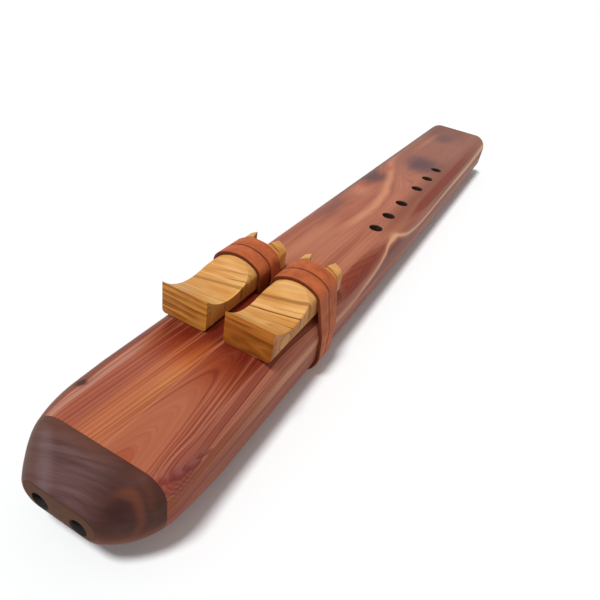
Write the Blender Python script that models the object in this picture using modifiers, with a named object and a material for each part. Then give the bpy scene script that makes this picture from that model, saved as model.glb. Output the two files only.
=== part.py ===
"""Double flute: two bores side by side in one wooden body, played as melody and drone.

The body is glued up from two cedar halves with a walnut cap on the blowing end. A wooden
plug closes each bore between its slow air chamber and its sound chamber, and a carved block
over each plug steers the air onto the sound hole. A leather strap, wound twice through a slot
between the bores, ties each block down, and the block can slide under it for voicing.

+Y runs from the mouth to the foot, +Z is up and +X is the side with the finger holes. The
origin is under the middle, on the plane that the straps rest on. Lengths are in metres.
"""
import math

import bmesh
import bpy
from mathutils import Matrix, Vector

# General
CLEARANCE = 0.0003          # gap between pieces that touch
NAME = "double_flute"

# Leather straps
STRAP_THICKNESS = 0.0018
STRAP_WIDTH = 0.0104
STRAP_TURN_GAP = 0.0006     # thin line between the two turns
STRAP_LAYER_GAP = 0.0008    # between the layers of one strap inside the slot
STRAP_TAIL = 0.012          # tucked length of each end in the slot

# Cedar body
BODY_LENGTH = 0.579         # seam to foot
BODY_DEPTH = 0.042
EDGE_RADIUS = 0.014
BORE_DIAMETER = 0.022
SIDE_WALL = 0.006           # wood outside each bore
SLOT_WALL = 0.002           # wood between each bore and the strap slot
FOOT_EASE = 0.0012          # softened edge at the foot

# Rounded nose: the plan starts to narrow on the cedar and ends in the walnut cap. It is shaped by
# hand, and its left side narrows from farther back than its right, which has the crisper edge.
CAP_LENGTH = 0.0182
LEFT_NOSE_START = 0.02      # behind the seam, where the plan starts to narrow
RIGHT_NOSE_START = 0.0059
LEFT_NOSE_FULLNESS = 1.9    # exponent of the narrowing curve
RIGHT_NOSE_FULLNESS = 1.4
FACE_HALF_WIDTH = 0.0185    # blowing face
FACE_HEIGHT = 0.0135
FACE_RISE = 0.001           # above the middle of the body
FACE_EDGE_RADIUS = 0.0112
FACE_EASE = 0.0018          # softened edge round the blowing face
BEVEL_POWER = 1.5           # how the top falls from the seam to the blowing face
CHIN_START = 0.042          # behind the seam, where the underside starts to rise
SOFT_START = 0.036          # behind the seam, where the edge radii start to change
LEFT_EDGE_RADIUS = 0.0165   # at the seam, as are the next two
RIGHT_EDGE_RADIUS = 0.0099
UNDER_EDGE_RADIUS = 0.0185
BLOW_DIAMETER = 0.0078
BLOW_SPACING = 0.0193
BLOW_DROP = 0.0017          # below the middle of the body

# Carved blocks; heights are above the body's top
BLOCK_FRONT = 0.074         # behind the seam
BLOCK_LENGTH = 0.076
BLOCK_WIDTH = 0.026
LIP_HEIGHT = 0.018
SEAT_HEIGHT = 0.0167
SWEEP_LOW_HEIGHT = 0.009
SWEEP_LOW_AT = 0.022        # behind the block's front
CROWN_RADIUS = 0.019        # across the strap seat
SHOULDER_RADIUS = 0.0055
SEAT_FRONT_LEDGE = 0.0008   # seat in front of the strap
SEAT_REAR_LEDGE = 0.003     # seat behind the strap
NOTCH_DEPTH = 0.0075
NOTCH_WIDTH = 0.012
NOTCH_FLARE = 0.0025        # how much wider the notch is at its mouth
NOTCH_CORNER = 0.0025

# Voicing, under and behind each block
SOUND_HOLE_LENGTH = 0.006
SOUND_HOLE_WIDTH = 0.010
SOUND_HOLE_SETBACK = 0.0015  # behind the bottom of the block's notch
FLUE_DEPTH = 0.0009
EXIT_HOLE_LENGTH = 0.010    # out of the slow air chamber
PLUG_LENGTH = 0.024
PLUG_SETBACK = 0.0075       # in front of the sound hole
EXIT_SETBACK = 0.002        # in front of the plug

# Finger holes, over the melody bore
FINGER_HOLE_DIAMETER = 0.009
FINGER_HOLES = (0.2442, 0.2714, 0.3025, 0.3445, 0.3766, 0.4074)  # behind the seam

# Facets
EDGE_STEPS = 6
ROUND_STEPS = 32
HOLE_STEPS = 20
STRAP_STEP = math.radians(12)
SWEEP_STEPS = 7
BODY_NOSE_STEPS = 8
CAP_STEPS = 10
FULL_ROUND = 0.48           # largest edge radius, as a share of a section's height

# Places that follow from the sizes
HALF_STRAP = STRAP_THICKNESS / 2
STRAP_OFFSET = CLEARANCE + HALF_STRAP
STRAP_PITCH = STRAP_WIDTH + STRAP_TURN_GAP
INNER_LAYER_X = CLEARANCE + HALF_STRAP
OUTER_LAYER_X = INNER_LAYER_X + STRAP_THICKNESS + STRAP_LAYER_GAP
SLOT_HALF_WIDTH = OUTER_LAYER_X + STRAP_OFFSET
BORE_RADIUS = BORE_DIAMETER / 2
BORE_X = SLOT_HALF_WIDTH + SLOT_WALL + BORE_RADIUS
BLOCK_X = SLOT_HALF_WIDTH + BLOCK_WIDTH / 2
HALF_WIDTH = BORE_X + BORE_RADIUS + SIDE_WALL

TOTAL_LENGTH = BODY_LENGTH + CAP_LENGTH
SEAM = CAP_LENGTH - TOTAL_LENGTH / 2
FOOT = SEAM + BODY_LENGTH
UNDERSIDE = STRAP_THICKNESS + CLEARANCE
TOP = UNDERSIDE + BODY_DEPTH
MIDDLE = UNDERSIDE + BODY_DEPTH / 2
BLOCK_BASE = TOP + CLEARANCE

NOSE_END = max(LEFT_NOSE_START, RIGHT_NOSE_START, CHIN_START, SOFT_START)

NOTCH_BOTTOM = BLOCK_LENGTH - NOTCH_DEPTH
STRAP_SPAN = 2 * STRAP_WIDTH + STRAP_TURN_GAP
SEAT_START = NOTCH_BOTTOM - SEAT_REAR_LEDGE - STRAP_SPAN - SEAT_FRONT_LEDGE
BLOCK_Y = SEAM + BLOCK_FRONT
FIRST_TURN_Y = BLOCK_Y + SEAT_START + SEAT_FRONT_LEDGE + STRAP_WIDTH / 2
SECOND_TURN_Y = FIRST_TURN_Y + STRAP_PITCH
SOUND_HOLE_Y = BLOCK_Y + NOTCH_BOTTOM + SOUND_HOLE_SETBACK
PLUG_END = SOUND_HOLE_Y - PLUG_SETBACK
PLUG_START = PLUG_END - PLUG_LENGTH
EXIT_END = PLUG_START - EXIT_SETBACK
EXIT_START = EXIT_END - EXIT_HOLE_LENGTH

# Colours, as linear RGB, with roughness
CEDAR = ((0.42, 0.13, 0.06), 0.45)
WALNUT = ((0.10, 0.045, 0.03), 0.4)
OLIVE = ((0.58, 0.30, 0.10), 0.45)
LEATHER = ((0.34, 0.10, 0.035), 0.7)
PLUG_WOOD = ((0.5, 0.3, 0.16), 0.6)


def clear_scene():
    """Remove whatever the scene holds."""
    for old in list(bpy.data.objects):
        bpy.data.objects.remove(old, do_unlink=True)


def new_collection(name):
    """A collection of its own in the scene."""
    made = bpy.data.collections.new(name)
    bpy.context.scene.collection.children.link(made)
    return made


def finish_of(name, look):
    """A plain wood or leather material from a colour and a roughness."""
    colour, roughness = look
    made = bpy.data.materials.new(name)
    made.use_nodes = True
    shader = made.node_tree.nodes["Principled BSDF"]
    shader.inputs["Base Color"].default_value = (*colour, 1.0)
    shader.inputs["Roughness"].default_value = roughness
    shader.inputs["Metallic"].default_value = 0.0
    return made


def add_part(name, bm, collection, look, location=(0.0, 0.0, 0.0)):
    """Turn a bmesh into a named, shaded object with its own material."""
    bmesh.ops.recalc_face_normals(bm, faces=bm.faces)
    mesh = bpy.data.meshes.new(name)
    bm.to_mesh(mesh)
    bm.free()
    mesh.shade_smooth()
    mesh.set_sharp_from_angle(angle=math.radians(30))
    part = bpy.data.objects.new(name, mesh)
    part.location = location
    mesh.materials.append(finish_of(name, look))
    collection.objects.link(part)
    return part


def add_cutter(name, bm, collection):
    """Turn a bmesh into a wire object that only cuts."""
    bmesh.ops.recalc_face_normals(bm, faces=bm.faces)
    mesh = bpy.data.meshes.new(name)
    bm.to_mesh(mesh)
    bm.free()
    cutter = bpy.data.objects.new(name, mesh)
    cutter.hide_render = True
    cutter.display_type = "WIRE"
    collection.objects.link(cutter)
    return cutter


def cut(part, cutter):
    """Take one shape out of a part."""
    step = part.modifiers.new("cut_" + cutter.name, "BOOLEAN")
    step.operation = "DIFFERENCE"
    step.solver = "EXACT"
    step.object = cutter


def box_shape(low, high):
    """A box between two corners."""
    low, high = Vector(low), Vector(high)
    bm = bmesh.new()
    size = high - low
    place = Matrix.Translation((low + high) / 2) @ Matrix.Diagonal((*size, 1.0))
    bmesh.ops.create_cube(bm, size=1.0, matrix=place)
    return bm


def rod_shape(start, end, radius, steps):
    """A round rod between two points."""
    start, end = Vector(start), Vector(end)
    axis = end - start
    turn = axis.to_track_quat("Z", "X").to_matrix().to_4x4()
    place = Matrix.Translation((start + end) / 2) @ turn
    bm = bmesh.new()
    bmesh.ops.create_cone(bm, cap_ends=True, segments=steps, radius1=radius, radius2=radius,
                          depth=axis.length, matrix=place)
    return bm


def prism_shape(outline, shift):
    """An outline of 3D points, filled and swept along a straight line."""
    bm = bmesh.new()
    face = bm.faces.new([bm.verts.new(point) for point in outline])
    swept = bmesh.ops.extrude_face_region(bm, geom=[face])
    moved = [item for item in swept["geom"] if isinstance(item, bmesh.types.BMVert)]
    bmesh.ops.translate(bm, verts=moved, vec=shift)
    return bm


def arc_points(centre, radius, start, end, steps):
    """Points on an arc; angles run from the first axis toward the second."""
    points = []
    for step in range(steps + 1):
        angle = start + (end - start) * step / steps
        points.append((centre[0] + radius * math.cos(angle), centre[1] + radius * math.sin(angle)))
    return points


def nose_half_width(behind_seam, start, fullness):
    """Width of one side in plan, which narrows along a curve to the blowing face."""
    ahead = max(start - behind_seam, 0.0)
    narrow = (FACE_HALF_WIDTH / HALF_WIDTH) ** fullness
    reach = (start + CAP_LENGTH) / math.sqrt(1.0 - narrow)
    return HALF_WIDTH * (1.0 - (ahead / reach) ** 2) ** (1.0 / fullness)


def nose_section(behind_seam):
    """Left, right, underside and top of the section at one place, and its edge radii."""
    left = nose_half_width(behind_seam, LEFT_NOSE_START, LEFT_NOSE_FULLNESS)
    right = nose_half_width(behind_seam, RIGHT_NOSE_START, RIGHT_NOSE_FULLNESS)
    forward = max(-behind_seam / CAP_LENGTH, 0.0)
    fall = (BODY_DEPTH - FACE_HEIGHT) / 2
    top = TOP - (fall - FACE_RISE) * forward ** BEVEL_POWER
    chin = max(CHIN_START - behind_seam, 0.0) / (CHIN_START + CAP_LENGTH)
    bottom = UNDERSIDE + (fall + FACE_RISE) * (1.0 - math.sqrt(1.0 - chin ** 2))
    change = max(1.0 - max(behind_seam, 0.0) / SOFT_START, 0.0)
    largest = min(left, right, FULL_ROUND * (top - bottom))
    radii = []
    for at_seam in (RIGHT_EDGE_RADIUS, LEFT_EDGE_RADIUS, UNDER_EDGE_RADIUS):
        radius = EDGE_RADIUS + (at_seam - EDGE_RADIUS) * change
        radius += (FACE_EDGE_RADIUS - at_seam) * forward
        radii.append(min(radius, largest))
    return left, right, bottom, top, radii


def ring(section, y, inset=0.0):
    """A rounded rectangle across the body, drawn in on all sides, as points round its outline."""
    left, right, bottom, top, radii = section
    left_x, right_x, low, high = inset - left, right - inset, bottom + inset, top - inset
    right_round, left_round, under_round = [radius - inset for radius in radii]
    corners = ((right_x - right_round, high - right_round, right_round, 0.0),
               (left_x + left_round, high - left_round, left_round, 0.5),
               (left_x + under_round, low + under_round, under_round, 1.0),
               (right_x - under_round, low + under_round, under_round, 1.5))
    points = []
    for x, z, radius, turn in corners:
        arc = arc_points((x, z), radius, turn * math.pi, (turn + 0.5) * math.pi, EDGE_STEPS)
        points += [(px, y, pz) for px, pz in arc]
    return points


def loft_shape(rings):
    """A closed skin through a row of rings with as many points each."""
    bm = bmesh.new()
    rows = [[bm.verts.new(point) for point in one] for one in rings]
    for near, far in zip(rows, rows[1:]):
        for index in range(len(near)):
            after = (index + 1) % len(near)
            bm.faces.new((near[index], near[after], far[after], far[index]))
    bm.faces.new(rows[0])
    bm.faces.new(rows[-1])
    return bm


def body_half_shape(upper):
    """One half of the cedar body, split along its middle."""
    rings = []
    for step in range(BODY_NOSE_STEPS + 1):
        behind = NOSE_END * step / BODY_NOSE_STEPS
        rings.append(ring(nose_section(behind), SEAM + max(behind, CLEARANCE / 2)))
    rings.append(ring(nose_section(NOSE_END), FOOT - FOOT_EASE))
    rings.append(ring(nose_section(NOSE_END), FOOT, FOOT_EASE))
    bm = loft_shape(rings)
    side = 1.0 if upper else -1.0
    level = MIDDLE + side * CLEARANCE / 2
    cut_edges = bmesh.ops.bisect_plane(
        bm, geom=[*bm.verts, *bm.edges, *bm.faces], plane_co=(0.0, 0.0, level),
        plane_no=(0.0, 0.0, -side), clear_outer=True)["geom_cut"]
    rim = [item for item in cut_edges if isinstance(item, bmesh.types.BMEdge)]
    bmesh.ops.edgeloop_fill(bm, edges=rim)
    return bm


def cap_shape():
    """The walnut cap, from the blowing face to the seam."""
    rings = [ring(nose_section(-CAP_LENGTH), SEAM - CAP_LENGTH, FACE_EASE)]
    for step in range(CAP_STEPS + 1):
        behind = (FACE_EASE - CAP_LENGTH) * (1.0 - step / CAP_STEPS)
        rings.append(ring(nose_section(behind), SEAM + min(behind, -CLEARANCE / 2)))
    return loft_shape(rings)


def crown_centres():
    """Height of the crown's centre, and the shoulder's centre, over a block's base and middle."""
    crown = SEAT_HEIGHT - CROWN_RADIUS
    shoulder_x = BLOCK_WIDTH / 2 - SHOULDER_RADIUS
    shoulder = crown + math.sqrt((CROWN_RADIUS - SHOULDER_RADIUS) ** 2 - shoulder_x ** 2)
    return crown, shoulder_x, shoulder


def sweep_points():
    """Side view of the block's hollow: two arcs that meet level at the lowest point."""
    fall = LIP_HEIGHT - SWEEP_LOW_HEIGHT
    rise = SEAT_HEIGHT - SWEEP_LOW_HEIGHT
    back = SEAT_START - SWEEP_LOW_AT
    front_radius = (SWEEP_LOW_AT ** 2 + fall ** 2) / (2 * fall)
    rear_radius = (back ** 2 + rise ** 2) / (2 * rise)
    down = -math.pi / 2
    front = arc_points((SWEEP_LOW_AT, SWEEP_LOW_HEIGHT + front_radius), front_radius,
                       down - math.asin(SWEEP_LOW_AT / front_radius), down, SWEEP_STEPS)
    rear = arc_points((SWEEP_LOW_AT, SWEEP_LOW_HEIGHT + rear_radius), rear_radius,
                      down, down + math.asin(back / rear_radius), SWEEP_STEPS)
    return front + rear[1:]


def block_shape():
    """Side view of a block, swept across its width; its origin is at the front of its base."""
    profile = [(0.0, 0.0)] + sweep_points() + [(BLOCK_LENGTH, SEAT_HEIGHT), (BLOCK_LENGTH, 0.0)]
    half = BLOCK_WIDTH / 2
    return prism_shape([(-half, y, z) for y, z in profile], (BLOCK_WIDTH, 0.0, 0.0))


def shoulder_cutter_shape(x, spare):
    """What lies above the crowned seat and its round shoulders, from the sweep to the rear."""
    crown, shoulder_x, shoulder = crown_centres()
    lean = math.atan2(shoulder_x, shoulder - crown)
    up = math.pi / 2
    outline = arc_points((shoulder_x, shoulder), SHOULDER_RADIUS, 0.0, up - lean, EDGE_STEPS)
    outline += arc_points((0.0, crown), CROWN_RADIUS, up - lean, up + lean, EDGE_STEPS)[1:]
    outline += arc_points((-shoulder_x, shoulder), SHOULDER_RADIUS, up + lean, math.pi, EDGE_STEPS)[1:]
    half, over = BLOCK_WIDTH / 2 + spare, SEAT_HEIGHT + spare
    outline += [(-half, shoulder), (-half, over), (half, over), (half, shoulder)]
    start = BLOCK_Y + SWEEP_LOW_AT
    points = [(x + px, start, BLOCK_BASE + pz) for px, pz in outline]
    return prism_shape(points, (0.0, BLOCK_LENGTH, 0.0))


def notch_cutter_shape(x, spare):
    """The U-shaped notch in a block's rear end."""
    inner = NOTCH_WIDTH / 2 - NOTCH_CORNER
    mouth = (NOTCH_WIDTH + NOTCH_FLARE) / 2
    corner = NOTCH_BOTTOM + NOTCH_CORNER
    left = arc_points((-inner, corner), NOTCH_CORNER, math.pi, 1.5 * math.pi, EDGE_STEPS)
    right = arc_points((inner, corner), NOTCH_CORNER, 1.5 * math.pi, 2 * math.pi, EDGE_STEPS)
    end = BLOCK_LENGTH
    outline = left + right + [(mouth, end), (mouth, end + spare), (-mouth, end + spare), (-mouth, end)]
    points = [(x + px, BLOCK_Y + py, BLOCK_BASE - spare) for px, py in outline]
    return prism_shape(points, (0.0, 0.0, SEAT_HEIGHT + 2 * spare))


def belt(rounds):
    """Points of a belt pulled clockwise over circles (x, z, radius); a radius of 0 is a point."""
    normals = []
    for (x1, z1, r1), (x2, z2, r2) in zip(rounds, rounds[1:]):
        span = math.hypot(x2 - x1, z2 - z1)
        share = max(-1.0, min(1.0, (r1 - r2) / span))
        normals.append(math.atan2(z2 - z1, x2 - x1) + math.acos(share))
    points = [(rounds[0][0], rounds[0][1])]
    for index, (x, z, radius) in enumerate(rounds[1:-1]):
        start, end = normals[index], normals[index + 1]
        sweep = (start - end) % (2 * math.pi)
        steps = max(1, math.ceil(sweep / STRAP_STEP))
        points += arc_points((x, z), radius, start, start - sweep, steps)
    points.append((rounds[-1][0], rounds[-1][1]))
    return points


def strap_turn(y, rise_x, end_x, end_z):
    """One turn: up out of the slot, over the block, round the body and back into the slot."""
    crown, shoulder_x, shoulder = crown_centres()
    shoulder_round = SHOULDER_RADIUS + STRAP_OFFSET
    edge_round = EDGE_RADIUS + STRAP_OFFSET
    edge_x = HALF_WIDTH - EDGE_RADIUS
    rounds = [
        (rise_x, TOP, 0.0),
        (BLOCK_X - shoulder_x, BLOCK_BASE + shoulder, shoulder_round),
        (BLOCK_X, BLOCK_BASE + crown, CROWN_RADIUS + STRAP_OFFSET),
        (BLOCK_X + shoulder_x, BLOCK_BASE + shoulder, shoulder_round),
        (edge_x, TOP - EDGE_RADIUS, edge_round),
        (edge_x, UNDERSIDE + EDGE_RADIUS, edge_round),
        (end_x + STRAP_OFFSET, UNDERSIDE, STRAP_OFFSET),
        (end_x, end_z, 0.0),
    ]
    return [Vector((x, y, z)) for x, z in belt(rounds)]


def strap_path():
    """The middle line of the right strap: two turns with both ends tucked into the slot."""
    tucked = Vector((OUTER_LAYER_X, FIRST_TURN_Y, TOP - STRAP_TAIL))
    first = strap_turn(FIRST_TURN_Y, OUTER_LAYER_X, INNER_LAYER_X, UNDERSIDE + STRAP_OFFSET)
    second = strap_turn(SECOND_TURN_Y, INNER_LAYER_X, OUTER_LAYER_X, UNDERSIDE + STRAP_TAIL)
    return [tucked] + first + second


def least_gap(path):
    """Smallest distance of a strap to itself, measured on points of both its faces."""
    samples = []
    run = 0.0
    across = [STRAP_WIDTH * (step / 4 - 0.5) for step in range(5)]
    for here, after in zip(path, path[1:]):
        along = after - here
        steps = max(1, math.ceil(along.length / STRAP_THICKNESS))
        normal = Vector((-along.z, 0.0, along.x)).normalized() * HALF_STRAP
        for step in range(steps):
            middle = here + along * step / steps
            place = run + along.length * step / steps
            for shift in across:
                for face in (normal, -normal):
                    samples.append((place, middle + face + Vector((0.0, shift, 0.0))))
        run += along.length
    apart = 4 * STRAP_WIDTH
    return min((a - b).length for s, a in samples for t, b in samples if t - s > apart)


def strap_shape(path, side):
    """A ribbon along the path, to be thickened; side is 1 for the right strap, -1 for the left."""
    bm = bmesh.new()
    edge_shift = Vector((0.0, -STRAP_WIDTH / 2, 0.0))
    verts = [bm.verts.new(Vector((side * p.x, p.y, p.z)) + edge_shift) for p in path]
    edges = [bm.edges.new(pair) for pair in zip(verts, verts[1:])]
    swept = bmesh.ops.extrude_edge_only(bm, edges=edges)
    moved = [item for item in swept["geom"] if isinstance(item, bmesh.types.BMVert)]
    bmesh.ops.translate(bm, verts=moved, vec=(0.0, STRAP_WIDTH, 0.0))
    return bm


def cut_voicing(part, cutters, side, x):
    """Exit hole, flue and sound hole of one bore, cut into the upper half."""
    half = SOUND_HOLE_WIDTH / 2
    deep = MIDDLE - CLEARANCE
    over = TOP + FLUE_DEPTH
    sound_end = SOUND_HOLE_Y + SOUND_HOLE_LENGTH
    exit_hole = box_shape((x - half, EXIT_START, deep), (x + half, EXIT_END, over))
    cut(part, add_cutter(side + "_exit_hole_cutter", exit_hole, cutters))
    sound_hole = box_shape((x - half, SOUND_HOLE_Y, deep), (x + half, sound_end, over))
    cut(part, add_cutter(side + "_sound_hole_cutter", sound_hole, cutters))
    # The flue reaches into both holes, so that no skin is left between them.
    flue = box_shape((x - half, (EXIT_START + EXIT_END) / 2, TOP - FLUE_DEPTH),
                     (x + half, (SOUND_HOLE_Y + sound_end) / 2, over))
    cut(part, add_cutter(side + "_flue_cutter", flue, cutters))


def build():
    """Model every piece in its place."""
    clear_scene()
    parts = new_collection(NAME)
    cutters = new_collection(NAME + "_cutters")

    body_top = add_part("body_top", body_half_shape(True), parts, CEDAR)
    body_bottom = add_part("body_bottom", body_half_shape(False), parts, CEDAR)
    mouthpiece = add_part("mouthpiece", cap_shape(), parts, WALNUT)

    slot = box_shape((-SLOT_HALF_WIDTH, FIRST_TURN_Y - STRAP_WIDTH / 2 - CLEARANCE, 0.0),
                     (SLOT_HALF_WIDTH, SECOND_TURN_Y + STRAP_WIDTH / 2 + CLEARANCE, TOP + BODY_DEPTH))
    slot_cutter = add_cutter("slot_cutter", slot, cutters)
    past = BORE_RADIUS
    route = strap_path()
    gap = least_gap(route)
    for side, sign in (("left", -1.0), ("right", 1.0)):
        bore_x = sign * BORE_X
        block_x = sign * BLOCK_X
        bore = add_cutter(side + "_bore_cutter", rod_shape(
            (bore_x, SEAM - past, MIDDLE), (bore_x, FOOT + past, MIDDLE), BORE_RADIUS, ROUND_STEPS), cutters)
        cut(body_top, bore)
        cut(body_bottom, bore)
        cut_voicing(body_top, cutters, side, block_x)

        blow_start = Vector((sign * BLOW_SPACING / 2, SEAM - CAP_LENGTH, MIDDLE - BLOW_DROP))
        blow_end = Vector((sign * (BORE_X - BORE_RADIUS + BLOW_DIAMETER / 2 + CLEARANCE), SEAM, MIDDLE))
        reach = blow_end - blow_start
        cut(mouthpiece, add_cutter(side + "_blow_cutter", rod_shape(
            blow_start - reach, blow_end + reach, BLOW_DIAMETER / 2, HOLE_STEPS), cutters))

        add_part(side + "_plug", rod_shape(
            (bore_x, PLUG_START, MIDDLE), (bore_x, PLUG_END, MIDDLE), BORE_RADIUS - CLEARANCE,
            ROUND_STEPS), parts, PLUG_WOOD)

        block = add_part(side + "_block", block_shape(), parts, OLIVE, (block_x, BLOCK_Y, BLOCK_BASE))
        cut(block, add_cutter(side + "_shoulder_cutter", shoulder_cutter_shape(block_x, past), cutters))
        cut(block, add_cutter(side + "_notch_cutter", notch_cutter_shape(block_x, past), cutters))

        strap = add_part(side + "_strap", strap_shape(route, sign), parts, LEATHER)
        thicken = strap.modifiers.new("leather", "SOLIDIFY")
        thicken.thickness = STRAP_THICKNESS
        thicken.offset = 0.0
        thicken.use_even_offset = True
        print(f"{side}_strap: least gap to itself {gap * 1000:.2f} mm")

    cut(body_top, slot_cutter)
    cut(body_bottom, slot_cutter)
    for index, behind in enumerate(FINGER_HOLES, 1):
        y = SEAM + behind
        hole = rod_shape((BORE_X, y, MIDDLE), (BORE_X, y, TOP + BORE_RADIUS),
                         FINGER_HOLE_DIAMETER / 2, HOLE_STEPS)
        cut(body_top, add_cutter(f"finger_hole_{index}_cutter", hole, cutters))


build()
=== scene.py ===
"""Looks of the double flute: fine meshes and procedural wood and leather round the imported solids.

Everything is in the frame of the solids, in metres: +Y runs from the mouth to the foot, +Z is
up and +X is the side with the finger holes. The wood figure is written in millimetres, counted
from the middle of the flute (x), the seam of the walnut cap (y) and the underside (z).
"""
import math

import bmesh
import bpy
from mathutils import Matrix, Quaternion, Vector


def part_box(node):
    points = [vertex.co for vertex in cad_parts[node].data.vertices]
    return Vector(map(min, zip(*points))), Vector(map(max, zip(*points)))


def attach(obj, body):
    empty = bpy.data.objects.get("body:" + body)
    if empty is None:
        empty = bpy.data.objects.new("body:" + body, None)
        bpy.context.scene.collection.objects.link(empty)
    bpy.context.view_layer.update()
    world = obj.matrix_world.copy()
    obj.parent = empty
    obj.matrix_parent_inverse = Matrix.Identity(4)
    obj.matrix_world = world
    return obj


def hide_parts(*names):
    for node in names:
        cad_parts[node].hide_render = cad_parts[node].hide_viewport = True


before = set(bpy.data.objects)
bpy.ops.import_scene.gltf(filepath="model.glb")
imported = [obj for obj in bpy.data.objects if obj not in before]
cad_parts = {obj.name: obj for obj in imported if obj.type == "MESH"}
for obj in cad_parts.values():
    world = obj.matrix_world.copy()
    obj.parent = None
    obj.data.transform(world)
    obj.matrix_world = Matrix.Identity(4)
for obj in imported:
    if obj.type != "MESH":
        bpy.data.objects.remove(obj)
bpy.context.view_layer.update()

MM = 1000.0                 # millimetres in a metre, for the wood figure

# Sizes of the solids
CLEARANCE = 0.0003
STRAP_THICKNESS = 0.0018
STRAP_WIDTH = 0.0104
STRAP_TURN_GAP = 0.0006
STRAP_LAYER_GAP = 0.0008
STRAP_TAIL = 0.012
EDGE_RADIUS = 0.014
BORE_RADIUS = 0.011
BORE_X = 0.018
SLOT_HALF_WIDTH = 0.005
CAP_LENGTH = 0.0182
LEFT_NOSE_START = 0.02
RIGHT_NOSE_START = 0.0059
LEFT_NOSE_FULLNESS = 1.9
RIGHT_NOSE_FULLNESS = 1.4
FACE_HALF_WIDTH = 0.0185
FACE_HEIGHT = 0.0135
FACE_RISE = 0.001
FACE_EDGE_RADIUS = 0.0112
BEVEL_POWER = 1.5
CHIN_START = 0.042
SOFT_START = 0.036
LEFT_EDGE_RADIUS = 0.0165
RIGHT_EDGE_RADIUS = 0.0099
UNDER_EDGE_RADIUS = 0.0185
FULL_ROUND = 0.48
BLOW_RADIUS = 0.0039
BLOW_SPACING = 0.0193
BLOW_DROP = 0.0017
BLOCK_WIDTH = 0.026
BLOCK_LENGTH = 0.076
LIP_HEIGHT = 0.018
SEAT_HEIGHT = 0.0167
SWEEP_LOW_HEIGHT = 0.009
SWEEP_LOW_AT = 0.022
CROWN_RADIUS = 0.019
SHOULDER_RADIUS = 0.0055
SEAT_FRONT_LEDGE = 0.0008
SEAT_REAR_LEDGE = 0.003
NOTCH_DEPTH = 0.0075
NOTCH_WIDTH = 0.012
NOTCH_FLARE = 0.0025
NOTCH_CORNER = 0.0025
SOUND_HOLE_LENGTH = 0.006
SOUND_HOLE_WIDTH = 0.010
SOUND_HOLE_SETBACK = 0.0015
FLUE_DEPTH = 0.0009
EXIT_HOLE_LENGTH = 0.010
PLUG_LENGTH = 0.024
PLUG_SETBACK = 0.0075
EXIT_SETBACK = 0.002
FINGER_HOLE_RADIUS = 0.0045
FINGER_HOLES = (0.2442, 0.2714, 0.3025, 0.3445, 0.3766, 0.4074)

# Finer shape that the solids leave out
SEAM_GAP = 0.0001           # glue line between the cedar and the walnut
FOOT_ROUND = 0.0022
FACE_ROUND = 0.0014
RIM_CHAMFER = 0.0005        # softened rims of the holes
BLOW_CHAMFER = 0.00015
HORN_RISE = 0.0015          # how far the horns beside a block's notch stand over its seat
HORN_SETBACK = 0.0008       # behind the notch's bottom: clear of the strap when the block slides
PLUG_EASE = 0.0006
BLOCK_EDGE = 0.0006
BLOCK_EASED_OVER = math.radians(40)   # edges of a block that turn by more than this are eased
BLOCK_LOW_ROUND = 0.0022    # long bottom edges of the blocks
STRAP_EDGE = 0.0003
STRAP_STEP = math.radians(4)
CUT_FACING = 0.5            # a strap's faces that look this much forward or back are its cut edges
STRAP_GATHER = 0.28         # how much narrower the two turns get toward the underside
STRAP_GATHER_OVER = 0.006   # where that begins, over the body's top
BLOW_PAST = 0.2             # how far a blow hole's cutter passes the cap, as a share of its length
SHARP = 30.0                # edges that turn by more degrees than this stay sharp
BLOCK_SHARP = 45.0          # the same on the blocks
EDGE_STEPS = 14
END_STEPS = 6
EASE_STEPS = 3
NOSE_STEPS = 24
ROUND_STEPS = 64
HOLE_STEPS = 40

# Camera of the photograph
CAMERA_PLACE = (0.10337, -0.36518, 0.20250)
CAMERA_AZIMUTH = math.radians(21.93)
CAMERA_ELEVATION = math.radians(34.55)
CAMERA_ROLL = math.radians(10.80)
CAMERA_LENS = 30.85
SENSOR_WIDTH = 36.0
NEAREST_SEEN = 0.01

# Studio light
FILL_LIGHT = 0.28
KEY_LIGHT = 2.6
KEY_SPREAD = math.radians(12)
KEY_DIRECTION = (0.12, 0.34, -1.0)
FLOOR_COLOUR = (0.92, 0.945, 0.95)   # a little blue, against the red light from the wood
FLOOR_ROUGHNESS = 0.9
FLOOR_GLOW = 0.04           # lifts the floor toward white for the camera only
FLOOR_REACH = 4.0

# Places taken from the solids, and what follows from them
body_low, body_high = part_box("body_top")
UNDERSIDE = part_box("body_bottom")[0].z
TOP = body_high.z
MIDDLE = (UNDERSIDE + TOP) / 2
HALF_WIDTH = body_high.x
FOOT = body_high.y
SEAM = body_low.y - CLEARANCE / 2
BLOCK_BASE = TOP + CLEARANCE
BLOCK_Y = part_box("left_block")[0].y
BLOCK_X = SLOT_HALF_WIDTH + BLOCK_WIDTH / 2
NOSE_END = max(LEFT_NOSE_START, RIGHT_NOSE_START, CHIN_START, SOFT_START)
NOTCH_BOTTOM = BLOCK_LENGTH - NOTCH_DEPTH
STRAP_SPAN = 2 * STRAP_WIDTH + STRAP_TURN_GAP
SEAT_START = NOTCH_BOTTOM - SEAT_REAR_LEDGE - STRAP_SPAN - SEAT_FRONT_LEDGE
FIRST_TURN_Y = BLOCK_Y + SEAT_START + SEAT_FRONT_LEDGE + STRAP_WIDTH / 2
SECOND_TURN_Y = FIRST_TURN_Y + STRAP_WIDTH + STRAP_TURN_GAP
GATHER_TOP = TOP + STRAP_GATHER_OVER
GATHER_FALL = GATHER_TOP - UNDERSIDE - EDGE_RADIUS
SOUND_HOLE_Y = BLOCK_Y + NOTCH_BOTTOM + SOUND_HOLE_SETBACK
PLUG_END = SOUND_HOLE_Y - PLUG_SETBACK
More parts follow.
